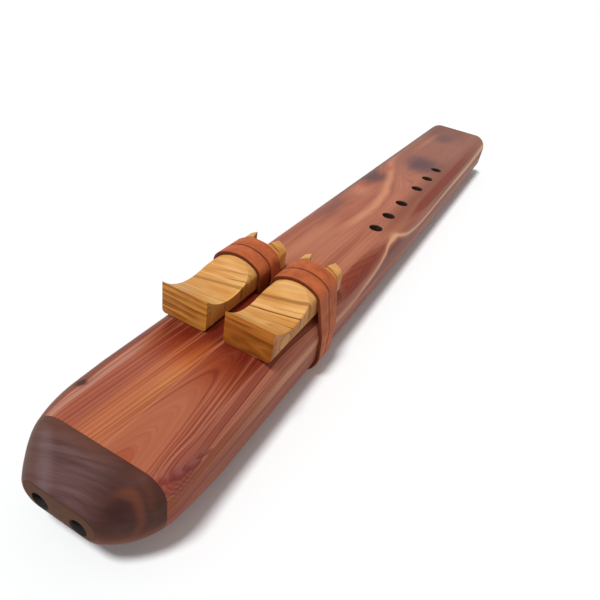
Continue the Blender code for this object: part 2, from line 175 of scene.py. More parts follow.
PLUG_START = PLUG_END - PLUG_LENGTH
EXIT_END = PLUG_START - EXIT_SETBACK
EXIT_START = EXIT_END - EXIT_HOLE_LENGTH
HALF_STRAP = STRAP_THICKNESS / 2
STRAP_OFFSET = CLEARANCE + HALF_STRAP
INNER_LAYER_X = STRAP_OFFSET
OUTER_LAYER_X = INNER_LAYER_X + STRAP_THICKNESS + STRAP_LAYER_GAP
SIDES = (("left", -1.0), ("right", 1.0))


class Term:
    """One output of a shader node, for writing formulas."""

    def __init__(self, graph, socket):
        self.graph = graph
        self.socket = socket

    def __add__(self, other):
        return self.graph.math("ADD", self, other)

    def __sub__(self, other):
        return self.graph.math("SUBTRACT", self, other)

    def __rsub__(self, other):
        return self.graph.math("SUBTRACT", other, self)

    def __mul__(self, other):
        return self.graph.math("MULTIPLY", self, other)

    def __truediv__(self, other):
        return self.graph.math("DIVIDE", self, other)


class Graph:
    """The nodes of one material, written as formulas over the place on the surface."""

    def __init__(self, name):
        self.material = bpy.data.materials.new(name)
        self.material.use_nodes = True
        self.tree = self.material.node_tree
        self.shader = self.tree.nodes["Principled BSDF"]
        self.colour = None

    def node(self, kind, **settings):
        made = self.tree.nodes.new("ShaderNode" + kind)
        for key, value in settings.items():
            setattr(made, key, value)
        return made

    def feed(self, socket, value):
        """Link a term to a socket, or set a plain value on it."""
        if isinstance(value, Term):
            self.tree.links.new(value.socket, socket)
        elif isinstance(value, tuple) and len(value) == 3 and socket.type == "RGBA":
            socket.default_value = (*value, 1.0)
        else:
            socket.default_value = value

    def math(self, operation, *values):
        made = self.node("Math", operation=operation)
        for socket, value in zip(made.inputs, values):
            self.feed(socket, value)
        return Term(self, made.outputs[0])

    def place(self, origin):
        """The place on the surface in millimetres from an origin, as three terms."""
        coords = self.node("TexCoord")
        apart = self.node("SeparateXYZ")
        self.tree.links.new(coords.outputs["Object"], apart.inputs[0])
        return [(Term(self, apart.outputs[i]) - origin[i]) * MM for i in range(3)]

    def noise(self, x, y, z, detail=2.0, roughness=0.5):
        """Smooth noise around 0, from about -0.5 to 0.5."""
        point = self.node("CombineXYZ")
        for socket, value in zip(point.inputs, (x, y, z)):
            self.feed(socket, value)
        made = self.node("TexNoise", noise_dimensions="3D")
        self.tree.links.new(point.outputs[0], made.inputs["Vector"])
        made.inputs["Scale"].default_value = 1.0
        made.inputs["Detail"].default_value = detail
        made.inputs["Roughness"].default_value = roughness
        return Term(self, made.outputs["Fac"]) - 0.5

    def step(self, low, high, value):
        """0 below low, 1 above high and a smooth rise between; falls where low is above high."""
        made = self.node("MapRange", interpolation_type="SMOOTHSTEP")
        self.feed(made.inputs["Value"], value)
        ends = (low, high, 0.0, 1.0) if low < high else (high, low, 1.0, 0.0)
        for name, end in zip(("From Min", "From Max", "To Min", "To Max"), ends):
            made.inputs[name].default_value = end
        return Term(self, made.outputs["Result"])

    def line(self, value, at, half, core=0.0):
        """1 within a core of where a value is reached, falling to 0 at half a width from it."""
        return self.step(half, core, self.math("ABSOLUTE", value - at))

    def trace(self, value, points):
        """A smooth curve through (value, result) points; level before the first and after the last."""
        made = self.node("FloatCurve")
        first, last = points[0][0], points[-1][0]
        low, high = min(p[1] for p in points), max(p[1] for p in points)
        curve = made.mapping.curves[0]
        for index, (at, result) in enumerate(points):
            place = ((at - first) / (last - first), (result - low) / (high - low))
            if index in (0, len(points) - 1):
                curve.points[0 if index == 0 else -1].location = place
            else:
                curve.points.new(*place)
        made.mapping.update()
        self.feed(made.inputs["Value"], (value - first) / (last - first))
        return Term(self, made.outputs[0]) * (high - low) + low

    def blend(self, share, first, second, kind="MIX"):
        """From the first colour to the second."""
        made = self.node("Mix", data_type="RGBA", blend_type=kind)
        self.feed(made.inputs[0], share)
        self.feed(made.inputs[6], first)
        self.feed(made.inputs[7], second)
        return Term(self, made.outputs[2])

    def paint(self, share, colour, kind="MIX"):
        """Blend a colour over what is painted so far."""
        self.colour = self.blend(share, self.colour, colour, kind)

    def length(self, *values):
        """Root of the sum of squares."""
        total = values[0] * values[0]
        for value in values[1:]:
            total = total + value * value
        return self.math("SQRT", total)

    def finish(self, roughness, height, depth, specular):
        """Connect the surface: what is painted, roughness, gloss and a bump of a given depth (mm)."""
        self.feed(self.shader.inputs["Base Color"], self.colour)
        self.feed(self.shader.inputs["Roughness"], roughness)
        self.shader.inputs["Specular IOR Level"].default_value = specular
        bump = self.node("Bump")
        bump.inputs["Strength"].default_value = 1.0
        bump.inputs["Distance"].default_value = depth / MM
        self.feed(bump.inputs["Height"], height)
        self.tree.links.new(bump.outputs[0], self.shader.inputs["Normal"])
        return self.material


def srgb(red, green, blue):
    """A colour as a picture shows it (0 to 255), in the linear values of the shader."""
    def linear(value):
        share = value / 255.0
        return share / 12.92 if share <= 0.04045 else ((share + 0.055) / 1.055) ** 2.4
    return linear(red), linear(green), linear(blue)


# From here on, the figure of the wood, in millimetres
FIGURE_ORIGIN = (0.0, SEAM, UNDERSIDE)
DEPTH = (TOP - UNDERSIDE) * MM
EDGE_ROUND = EDGE_RADIUS * MM
FLAT_HALF = HALF_WIDTH * MM - EDGE_ROUND
BOARD_JOINT = 0.1           # half of the soft change from one board to the other

# Figure of the cedar: places across the board and behind the seam, sizes, and how far they push
KNOTS = ((2.9, 411, 20, 56, 0.6), (-19.3, 342, 15, 46, 0.5), (-3.2, 520, 11, 34, 0.5),
         (-25, 18.5, 6, 12, 0.6), (32.5, 11, 10, 17, 0.4), (17.5, 238, 9, 28, 0.5))
# Purple patches of the knot by the seam: place and size, across the board and behind the seam
SWIRL_PATCHES = ((30.5, 4.4, 1.6, 3.2), (32.2, 10, 1.9, 4.2), (34.3, 17.2, 1.7, 4.4), (35.4, 24, 1, 4))
# Oval patches of the upper board: place across it and behind the seam, size each way, how soft and
# how uneven they are, and their weight
SMOKE = ((3.4, 411, 23, 38, 0.2, 0.7, 1), (-22, 340, 16, 28, 0.1, 0.7, 1),
         (-4, 520, 13, 28, 0.1, 0.5, 0.7), (-20, 252, 10, 56, 0, 0.8, 0.55),
         (-26, 560, 14, 70, 0, 0, 0.4), (-29, 320, 9, 120, 0, 0.8, 0.4))
EMBERS = ((-20, 318, 9, 14, 0, 0.8, 1), (-17, 372, 6, 22, 0, 0.8, 1))
TAN_PATCHES = ((-17, 300, 10, 18, 0, 0.8, 0.5), (-15, 490, 5, 60, 0, 0.8, 0.4))
# Lines that the figure follows, as (behind the seam, across the board)
GRAIN_DRIFT = ((150, 0), (200, -1), (226, 0), (250, 2.4), (275, 3.2), (305, 1), (330, -4.5),
               (351, -9.5), (376, -16.5), (413, -24), (445, -21), (480, -16), (560, -11))
SAPWOOD_LINE = ((60, 42.5), (110, 43.6), (146, 45.4), (167, 46.3), (187, 43.8), (207, 41),
                (229, 36.2), (249, 32.4), (261, 35), (289, 41.4), (330, 44.3), (377, 43),
                (424, 42), (486, 41.4), (549, 38.8), (580, 37.2))
# Figure of the blocks: heart of the rings (behind the front, over the base); dark streaks across the
# top by their place behind the front, half width, strength and where along the width they fade in;
# the colour painted on the right side, which is painted light on the left block's shaded inner side
# and painted shade on the right block; and the pale and the dark colour of the front
BLOCK_FIGURE = {
    "left": {
        "seed": -14,
        "heart": (20, -6),
        "streaks": ((12.6, 0.35, 0.6, (-16, -8)), (15.4, 0.3, 0.6, (2, -6)),
                    (27.3, 1.9, 0.5, (-18, -12)), (31.7, 0.5, 0.7, (-2, 8)),
                    (36, 0.9, 0.3, (-16, -4))),
        "flank": srgb(252, 188, 96),
        "front": (srgb(226, 156, 64), srgb(146, 76, 12)),
    },
    "right": {
        "seed": 20,
        "heart": (10.5, 6),
        "streaks": ((11.8, 0.3, 0.6, (0, -8)), (14.6, 0.3, 0.7, (-3, -9)),
                    (16.4, 0.45, 0.8, (-2, 4)), (24.6, 0.8, 0.95, (-18, -12)),
                    (28.6, 0.4, 0.4, (-8, 6)), (34.4, 1.7, 0.55, (-18, -12))),
        "flank": srgb(178, 110, 52),
        "front": (srgb(200, 114, 28), srgb(124, 52, 3)),
    },
}
STREAK_SLANT = 0.22         # the blocks' figure lies a little askew
# Close to the blocks the cedar is partly darker red wood and partly painted shade from the blocks.
BLOCK_TONE_AND_SHADE = (0.88, 0.56, 0.32)   # what is left of the cedar's colour close to the blocks
# Dark lines on each side of the flame: value of u, half width and strength
LEFT_LINES = ((11.3, 0.5, 0.7), (12.5, 0.4, 0.6), (14.1, 0.4, 0.5), (3.6, 0.4, 0.45))
RIGHT_LINES = ((11.3, 0.5, 0.8), (12.5, 0.4, 0.7), (13.7, 0.5, 0.6), (15.2, 0.7, 1), (16.5, 0.4, 0.7),
               (17.6, 0.6, 0.9), (19.8, 0.7, 0.8), (22.4, 0.5, 0.7))


def cedar_material():
    """Oiled red cedar in two boards, with a flame, knots, smoky patches and a sapwood line."""
    g = Graph("cedar")
    x, y, z = g.place(FIGURE_ORIGIN)

    # Place on the skin: s runs from the middle of the top over the edges and down the sides.
    upper = g.step(DEPTH / 2 - BOARD_JOINT, DEPTH / 2 + BOARD_JOINT, z)
    seed = upper * 40
    high = g.math("MAXIMUM", z, DEPTH - z) - (DEPTH - EDGE_ROUND)
    wide = g.math("ABSOLUTE", x)
    turn = g.math("ARCTAN2", g.math("MAXIMUM", wide - FLAT_HALF, 0), g.math("MAXIMUM", high, 0))
    s = g.math("MINIMUM", wide, FLAT_HALF) + turn * EDGE_ROUND + g.math("MAXIMUM", high * -1, 0)
    s = g.math("SIGN", x) * s
    mottle = g.noise(s * 0.09, y * 0.022, seed + 33, 3)
    ragged = g.noise(s * 0.35, y * 0.045, seed + 41, 3)
    front = g.step(170, 80, y) * upper
    rear = g.step(120, 190, y) * upper

    def spot(at_s, at_y, size_s, size_y, soft=0.2, uneven=0):
        """1 in the middle of an oval patch of the upper board, 0 outside it."""
        away = g.length((s - at_s) / size_s, (y - at_y) / size_y) + mottle * uneven
        return g.step(1, soft, away) * upper

    def patches(table):
        """Oval patches together, each with its weight."""
        total = 0
        for *place, weight in table:
            total = spot(*place) * weight + total
        return total

    def strip(low, high, soft):
        """1 between two places across the board, 0 beyond them."""
        return g.step(low - soft, low + soft, s) * g.step(high + soft, high - soft, s)

    # Run of the grain: contours of u close in a flame in front and run round the knots behind
    slow = g.noise(s * 0.03, y * 0.006, seed, 2)
    drift = g.trace(y, GRAIN_DRIFT)
    bent = s + slow * 3 + ragged * 0.7 - drift * g.step(16, -2, s) * rear
    for at_s, at_y, size_s, size_y, push in KNOTS:
        bent = bent - (s - at_s) * spot(at_s, at_y, size_s, size_y, 0) * push
    closing = g.math("MINIMUM", y, 85) * front * 2.25
    u = g.math("SQRT", (bent - 13.8) * (bent - 13.8) + closing + 1)
    flame = g.step(12.3, 10.4, u + ragged * 1.2) * g.step(82, 66, y) * upper

    # Broad colours across the board, in front and behind
    broad = g.noise(u * 0.11, y * 0.004, seed + 21, 1) + mottle * 0.4
    g.colour = g.blend(g.step(-0.2, 0.2, broad), srgb(146, 76, 57), srgb(176, 105, 79))
    behind = g.blend(g.step(-0.2, 0.2, broad), srgb(158, 90, 70), srgb(182, 116, 90))
    behind = g.blend(g.step(300, 450, y) * 0.9, behind, srgb(140, 90, 75))
    g.paint(rear, behind)
    g.paint(strip(-20, -9.5, 2) * front * 0.8, srgb(168, 95, 75))
    g.paint(strip(-24.6, -20.4, 1) * front * 0.9, srgb(184, 130, 112))
    g.paint(strip(-9, 5.5, 3.5) * front * 0.85, srgb(191, 114, 76))
    g.paint(spot(1.6, 44, 5, 34, 0.1, 0.6) * 0.75, srgb(200, 128, 74))
    # Painted shade on the rounded left edge in front.
    g.paint(g.step(-24.6, -27.6, s + ragged * 3) * front * 0.9, srgb(114, 70, 62))
    burnt = g.blend(g.step(24, 60, y), srgb(178, 105, 75), srgb(160, 82, 54))
    g.paint(flame * 0.7, burnt)
    inner = g.step(4.6, 3, u + ragged * 1.2) * g.step(26, 10, y) * upper
    g.paint(inner * 0.6, srgb(160, 74, 48))
    g.paint(strip(26.5, 37, 1) * front * 0.8, srgb(168, 98, 82))
    tan = g.blend(g.step(16, 64, y), srgb(162, 80, 48), srgb(178, 106, 76))
    g.paint(strip(37.5, 47, 1) * front * 0.9, tan)
    g.paint(g.step(46, 49, s) * front * 0.85, srgb(136, 56, 40))
    # Painted shade close to the blocks and in the gap between them, together with the cedar's own darker
    # red there: a multiplied tint, then a deep red.
    block_tone_and_shade = strip(-26, 28, 3) * g.step(38, 64, y) * g.step(150, 140, y) * upper
    g.paint(block_tone_and_shade, BLOCK_TONE_AND_SHADE, "MULTIPLY")
    nearing = y + mottle * 18 - strip(-7, 12.5, 4) * 4
    shade = g.step(42, 70, nearing) * 0.75 + g.step(58, 72, nearing) * 0.25
    shade = strip(-26, 28, 3) * shade * g.step(150, 140, y) * upper
    g.paint(shade, srgb(98, 26, 12))

    # Streaks along the grain, stronger down the sides
    band = g.noise(u * 0.6, y * 0.004, seed + 27, 3, 0.6) * (1 - rear) * (1 - flame * 0.5)
    band = band * (g.step(34, 40, wide + turn * EDGE_ROUND) * 0.6 + 1)
    g.paint(g.step(0, 0.3, band) * 0.55, srgb(126, 52, 34))
    g.paint(g.step(0, 0.3, band * -1) * 0.5, srgb(210, 138, 100))

    # Growth rings: each darkens slowly and ends in a crisp line
    ring = u * 0.52 + g.noise(u * 0.2, y * 0.003, seed + 9, 2) * 2
    share = g.math("FRACT", ring)
    strength = g.noise(g.math("FLOOR", ring) * 7.31, y * 0.006, seed + 3, 1) + 0.5
    late = g.step(0.3, 0.88, share) * g.step(1, 0.92, share) * g.step(0.2, 0.65, strength)
    late = late * (1 - rear * 0.15)
    fibre = g.noise(u * 2.6, y * 0.008, seed + 15, 3, 0.6)
    streaky = ragged * 0.9 + mottle * 0.6 + 0.9
    dark = late * (0.7 - flame * 0.5) + g.step(0, 0.3, fibre) * (rear * 0.2 + 0.45)
    right = g.step(12, 14, s) * front * streaky
    left = g.step(14, 12, s) * g.step(-1, 5, s) * front * streaky
    for lines, side in ((LEFT_LINES, left), (RIGHT_LINES, right)):
        for at, half, weight in lines:
            dark = dark + g.line(u, at, half) * side * weight
    dark = g.math("MINIMUM", dark, 1)
    g.paint(dark * 0.75, g.blend(rear, srgb(118, 44, 30), srgb(134, 68, 50)))
    pale = g.line(bent, -24.6, 0.7) + g.line(bent, 4.6, 0.8) * 0.5 + g.line(bent, 28.6, 0.8) * 0.5
    pale = (pale + g.line(bent, 36.6, 0.8) * 0.6) * front * streaky + g.step(0.08, 0.3, fibre * -1) * 0.4
    g.paint(pale * 0.6, g.blend(rear, srgb(208, 140, 106), srgb(198, 138, 110)))

    # Darker wood beside the finger holes and toward the foot, painted shade on the rounded left edge,
    # then a tan flow and smoky knots behind
    dark_wood_and_edge_shade = strip(16.5, 30, 3) * g.step(230, 290, y) * g.step(470, 400, y) * 0.5
    # painted shade on the rounded left edge behind
    dark_wood_and_edge_shade = dark_wood_and_edge_shade + g.step(-24, -30, s + ragged * 4) * g.step(230, 300, y) * 0.9
    dark_wood_and_edge_shade = dark_wood_and_edge_shade + g.step(490, 545, y + mottle * 40) * g.step(26, 4, s) * 0.65
    g.paint(dark_wood_and_edge_shade * upper, srgb(112, 66, 53))
    flow = g.line(s - drift + ragged * 4, 0, 5.5) * g.step(205, 260, y) * g.step(435, 350, y)
    flow = flow + strip(-14, -5, 4) * g.step(255, 205, y) * 0.6
    flow = g.math("MINIMUM", flow + patches(TAN_PATCHES), 1)
    g.paint(flow * rear * 0.8, srgb(204, 140, 107))
    g.paint(patches(EMBERS) * 0.6, srgb(168, 82, 56))
    g.paint(g.math("MINIMUM", patches(SMOKE), 1) * 0.9, srgb(88, 60, 64))

    # Red streaks on the right: chevrons behind the block and a long streak beside the finger holes
    off = g.math("ABSOLUTE", s - 31.5 + ragged * 2)
    behind_block = g.step(8, 4.5, off) * g.step(150, 166, y) * g.step(262, 205, y + off * 6)
    long_streak = strip(28, 36.5, 2) * g.step(270, 310, y - off * 8) * g.step(570, 440, y)
    redden = (behind_block * 0.75 + long_streak * 0.85) * upper
    g.paint(redden, srgb(128, 48, 30))
    chevron = g.math("FRACT", (y + off * 5) * 0.06 + ragged * 0.9 + mottle * 0.6)
    g.paint(behind_block * upper * g.step(0.25, 0.95, chevron) * 0.4, srgb(104, 38, 32))

    # Sapwood line along the right edge, with purple wood below it
    edge = s - g.trace(y, SAPWOOD_LINE) + slow + ragged * 0.6
    below = g.blend(g.step(255, 310, y), srgb(124, 64, 56), srgb(124, 78, 62))
    g.paint(g.step(0, 2, edge) * rear * 0.85, below)
    sapwood = g.line(edge, 0, 5) * g.step(50, 90, y) * g.step(225, 190, y) * upper
    g.paint(sapwood * 0.75, srgb(206, 142, 104))
    glow = g.line(edge, 0.6, 4.2) * 0.4 + g.line(edge, 0.2, 2.2) * 0.7
    glow = glow + spot(32, 249, 5, 12, 0) * 0.5
    glow = glow + g.line(edge, 0.5, 7) * g.step(370, 480, y) * 0.45
    glow = g.math("MINIMUM", glow, 1) * g.step(172, 204, y) * upper
    g.paint(glow, srgb(222, 164, 124))

    # Knots in front: a black one on the left edge and a purple swirl by the seam
    arcs = g.length((s - 32.4) * 0.9, (y - 10) * 0.6) + mottle * 2 + ragged * 1.2
    swirl = g.step(8, 5.5, arcs) * g.step(-7, 3, s - 32 - y * 0.3) * upper
    g.paint(swirl * 0.4, srgb(160, 80, 66))
    arcs = g.math("FRACT", arcs * 0.8)
    g.paint(swirl * g.step(0.25, 0.9, arcs) * 0.45, srgb(110, 44, 36))
    fan = g.math("FRACT", (y - s * 0.8) * 0.5 + ragged * 1.6 + mottle)
    fan = spot(38.5, 8, 7, 10, 0.3) * g.step(0.5, 0.95, fan)
    g.paint(fan * 0.5, srgb(116, 48, 36))
    for at_s, at_y, size_s, size_y in SWIRL_PATCHES:
        across = (s - at_s - (y - at_y) * 0.3) / size_s
        along = (y - at_y) / size_y
        rim = g.length(across - 0.5, along + 0.35) + ragged * 0.8
        patch = g.length(across, along) + ragged * 1 + mottle * 0.5
        g.paint(g.step(1.3, 0.9, rim) * upper * 0.6, srgb(120, 50, 44))
        g.paint(g.step(1.1, 0.2, patch) * upper * 0.5, srgb(162, 104, 98))
    g.paint(spot(-25.4, 19.4, 3.4, 8.5, 0, 0.6) * 0.8, srgb(118, 60, 50))
    g.paint(spot(-26.2, 18.6, 4.2, 3, 0.35, 0.6) * 0.9, srgb(62, 38, 36))

    # End grain at the foot
    facing = g.node("NewGeometry")
    apart = g.node("SeparateXYZ")
    g.tree.links.new(facing.outputs["Normal"], apart.inputs[0])
    end = g.step(0.75, 0.95, g.math("ABSOLUTE", Term(g, apart.outputs[1])))
    across = g.length(x - 8, z + 46) * 0.45 + slow
    ends = g.step(0.2, 0.95, g.math("FRACT", across)) * 0.7 + mottle * 0.3
    g.paint(end, g.blend(ends, srgb(152, 88, 60), srgb(104, 50, 34)))

    pores = g.noise(x * 5, y * 0.3, z * 5, 3)
    height = pores * 0.8 - dark * 0.5 + fibre * 0.5
    return g.finish(pores * 0.15 + mottle * 0.08 + 0.44, height, 0.015, specular=0.05)


def walnut_material():
    """Oiled dark walnut: fine lines across the flute, an eye of rings at the right corner, a painted
    highlight along the left ridge and a painted sheen on the left.
    """
    g = Graph("walnut")
    x, y, z = g.place(FIGURE_ORIGIN)

    slow = g.noise(x * 0.05, y * 0.08, z * 0.08, 2)
    along = x * 0.927 + y * 0.375
    out = g.length(y * 0.927 - x * 0.375 + 18.6, z - 24) + slow * 2.5
    fine = g.noise(along * 0.03, out * 2.2, 3, 4, 0.7)
    broad = g.noise(along * 0.04, out * 0.5, 5, 3)
    g.colour = g.blend(g.step(-0.25, 0.25, broad * 0.6 + fine * 0.7), srgb(74, 48, 45), srgb(112, 84, 84))
    g.paint(g.step(-8, -1, y + slow * 6) * 0.65, srgb(98, 58, 42))
    g.paint(g.step(4, 20, x + slow * 6) * 0.75, srgb(70, 42, 36))
    g.paint(g.step(26, 15, z) * g.step(6, 16, x) * 0.85, srgb(120, 66, 49))
    flank = x + 21.9 + y * 0.86 + slow * 4
    g.paint(g.step(0, -7, flank) * 0.6, srgb(100, 70, 60))
    # Painted highlight along the ridge at the left of the bevel.
    g.paint(g.line(flank, 0, 6) * g.step(-1, -7, y) * 0.3, srgb(136, 114, 114))

    eye = g.length((x - 22.5) / 7.2, (z - 27.5) / 10.3) + slow * 0.4 + fine * 0.25
    rings = g.line(eye, 1, 0.3) + g.line(eye, 1.4, 0.2) * 0.4 + g.line(eye, 1.75, 0.2) * 0.3
    g.paint(g.step(16, 24, x) * rings * 0.6, srgb(118, 68, 48))
    core = g.length((x - 22) / 7, (z - 32) / 6.5) + slow
    g.paint(g.step(1, 0.1, core) * 0.6, srgb(50, 28, 26))

    g.paint(g.step(0, 0.3, fine) * 0.55, srgb(54, 34, 31))
    # Pale purple-grey lines on the left of the cap: partly the wood's own lines, partly a painted sheen.
    pale = g.step(0.02, 0.28, fine * -1) * g.step(20, 8, x)
    g.paint(pale * 0.35, srgb(132, 106, 106))
    face = g.blend(g.step(-0.2, 0.2, fine), srgb(90, 50, 22), srgb(74, 40, 18))
    g.paint(g.step(-17.85, -18.15, y) * 0.9, face)
    pores = g.noise(along * 0.35, out * 5, z * 0.5, 3)
    return g.finish(pores * 0.2 + broad * 0.1 + 0.42, pores - fine * 0.4, 0.012, specular=0.03)


def olive_material(name, origin, seed, heart, streaks, flank, front):
    """Golden figured wood: rings round a heart that runs across the block, with dark streaks."""
    g = Graph(name)
    x, y, z = g.place(origin)
    y = y - x * STREAK_SLANT * g.step(0, 4, y)
    slow = g.noise(x * 0.03, y * 0.05, z * 0.05 + seed, 2)
    wave = g.noise(x * 0.1, y * 0.12, z * 0.12 + seed, 2)
    out = g.length(y - heart[0] + slow * 5, (z - heart[1]) * 1.3 + slow * 4) + wave * 1.2
    ring = out * 0.3 + g.noise(x * 0.015, out * 0.3, seed, 2) * 2.2
    share = g.math("FRACT", ring)
    strength = g.noise(g.math("FLOOR", ring) * 5.17, x * 0.03, seed + 2, 1) + 0.5
    late = g.step(0.15, 0.85, share) * g.step(1, 0.9, share) * g.step(0.2, 0.75, strength)
    fine = g.noise(x * 0.025, out * 1.7, seed + 5, 3, 0.6)
    broad = g.noise(x * 0.02, out * 0.14, seed + 8, 2) + wave * 0.3
    g.colour = g.blend(g.step(-0.22, 0.22, broad), srgb(230, 178, 112), srgb(206, 144, 74))
    g.paint(late * 0.55, srgb(178, 110, 46))
    g.paint(g.step(0.02, 0.32, fine) * 0.45, srgb(150, 92, 42))
    # Right side face: painted light on the left block, whose side faces the other block in shade, and
    # painted shade on the right block.
    g.paint(g.step(11.6, 12.8, x) * 0.55, flank)
    face = g.blend(g.step(-0.2, 0.4, broad + late * 0.5 + fine * 0.6), *front)
    g.paint(g.step(1, 0.3, y) * 0.82, face)
    eye = g.line(out, 5, 0.8, 0.2) + g.line(out, 8, 0.6, 0.1) * 0.6
    g.paint(eye * g.step(9, 12, x) * 0.6, srgb(92, 50, 20))
    for at, half, strength, (start, full) in streaks:
        near = g.line(y + slow * 3 + wave * 0.8, at, half, half * 0.2)
        near = near * g.step(start, full, x) * g.step(2, 5, z)
        g.paint(near * strength, srgb(112, 62, 22))
    pores = g.noise(x * 0.4, y * 6, z * 6, 3)
    height = pores * 0.8 - late * 0.3 + fine * 0.3
    return g.finish(pores * 0.15 + broad * 0.1 + 0.45, height, 0.015, specular=0.08)


def leather_material(name, face, worn):
    """Matte leather with pores, and darker toward the cut edges of each turn."""
    g = Graph(name)
    x, y, z = g.place(FIGURE_ORIGIN)
    first, second = (FIRST_TURN_Y - SEAM) * MM, (SECOND_TURN_Y - SEAM) * MM
    rear = second + STRAP_WIDTH / 2 * MM
    down = ((GATHER_TOP - UNDERSIDE) * MM - z) / (GATHER_FALL * MM)
    narrow = 1 - g.math("MINIMUM", g.math("MAXIMUM", down, 0), 1) * STRAP_GATHER
    flat = (y - rear) / narrow + rear
    off = g.math("MINIMUM", g.math("ABSOLUTE", flat - first), g.math("ABSOLUTE", flat - second))
    cloud = g.noise(x * 0.15, y * 0.15, z * 0.15, 3)
    pores = g.noise(x * 1.6, y * 1.6, z * 1.6, 4, 0.7)
    g.colour = g.blend(g.step(-0.3, 0.3, cloud + pores * 0.7), face, worn)
    g.paint(g.step(4.8, 5.2, off + pores * 0.4) * 0.6, srgb(110, 52, 30))
    return g.finish(pores * 0.2 + 0.62, pores + cloud * 0.5, 0.12, specular=0.12)


def plain_material(name, first, second, across=0.5, roughness=0.8, specular=0.2):
    """Two colours in an even grain, for the bare plugs and for the insides of the bores and holes,
    painted dark as shade.
    """
    g = Graph(name)
    x, y, z = g.place(FIGURE_ORIGIN)
    grain = g.noise(x * across, y * 0.05, z * across, 3.0)
    g.colour = g.blend(g.step(-0.3, 0.3, grain), first, second)
    return g.finish(grain * 0.2 + roughness, grain, 0.1, specular)


def mesh_object(name, bm, *materials):
    """A shaded object in the scene from a bmesh."""
    bmesh.ops.recalc_face_normals(bm, faces=bm.faces)
    mesh = bpy.data.meshes.new(name)
    bm.to_mesh(mesh)
    bm.free()
    for material in materials:
        mesh.materials.append(material)
    mesh.shade_smooth()
    mesh.set_sharp_from_angle(angle=math.radians(SHARP))
    made = bpy.data.objects.new(name, mesh)
    bpy.context.scene.collection.objects.link(made)
    return made


def settle(made, sharp=SHARP):
    """Apply an object's modifiers to its mesh."""
    graph = bpy.context.evaluated_depsgraph_get()
    mesh = bpy.data.meshes.new_from_object(made.evaluated_get(graph))
    old = made.data
    made.modifiers.clear()
    made.data = mesh
    mesh.name = made.name
    bpy.data.meshes.remove(old)
    mesh.shade_smooth()
    mesh.set_sharp_from_angle(angle=math.radians(sharp))


def carve(made, cutters):
    """Cut shapes out of an object; the cut faces take the cutters' materials."""
    for cutter in cutters:
        step = made.modifiers.new(cutter.name, "BOOLEAN")
        step.operation = "DIFFERENCE"
        step.solver = "EXACT"
        step.material_mode = "TRANSFER"
        step.object = cutter
    settle(made)
    for cutter in cutters:
        bpy.data.objects.remove(cutter, do_unlink=True)


def flat_normals(made):
    """Let large faces stay flat beside their rounded edges."""
    step = made.modifiers.new("flat_normals", "WEIGHTED_NORMAL")
    step.keep_sharp = True


def arc_points(centre, radius, start, end, steps):
    """Points on an arc; angles run from the first axis toward the second."""
    points = []
    for step in range(steps + 1):
        angle = start + (end - start) * step / steps
        points.append((centre[0] + radius * math.cos(angle), centre[1] + radius * math.sin(angle)))
    return points


def box_shape(low, high):
    """A box between two corners."""
    low, high = Vector(low), Vector(high)
    place = Matrix.Translation((low + high) / 2) @ Matrix.Diagonal((*(high - low), 1.0))
    bm = bmesh.new()
    bmesh.ops.create_cube(bm, size=1.0, matrix=place)
    return bm


def turned_shape(start, end, profile, steps):
    """A turned shape between two points, from (share of the way, radius) pairs."""
    start, end = Vector(start), Vector(end)
    turn = (end - start).to_track_quat("Z", "X")
    rings = []
    for share, radius in profile:
        centre = start.lerp(end, share)
        rings.append([centre + turn @ Vector((px, py, 0.0))
                      for px, py in arc_points((0.0, 0.0), radius, 0.0, 2 * math.pi, steps)[:-1]])
    return loft_shape(rings)


def prism_shape(outline, shift):
    """An outline of 3D points, filled and swept along a straight line."""
    bm = bmesh.new()
    face = bm.faces.new([bm.verts.new(point) for point in outline])
    swept = bmesh.ops.extrude_face_region(bm, geom=[face])
    moved = [item for item in swept["geom"] if isinstance(item, bmesh.types.BMVert)]
    bmesh.ops.translate(bm, verts=moved, vec=shift)
    return bm


def loft_shape(rings):
    """A closed skin through a row of rings with as many points each."""
    bm = bmesh.new()
    rows = [[bm.verts.new(point) for point in one] for one in rings]
    for near, far in zip(rows, rows[1:]):
        for index in range(len(near)):
            after = (index + 1) % len(near)
            bm.faces.new((near[index], near[after], far[after], far[index]))
    bm.faces.new(rows[0])
    bm.faces.new(rows[-1])
    return bm


def nose_half_width(behind_seam, start, fullness):
    """Width of one side in plan, which narrows along a curve to the blowing face."""
    ahead = max(start - behind_seam, 0.0)
    narrow = (FACE_HALF_WIDTH / HALF_WIDTH) ** fullness
    reach = (start + CAP_LENGTH) / math.sqrt(1.0 - narrow)
    return HALF_WIDTH * (1.0 - (ahead / reach) ** 2) ** (1.0 / fullness)


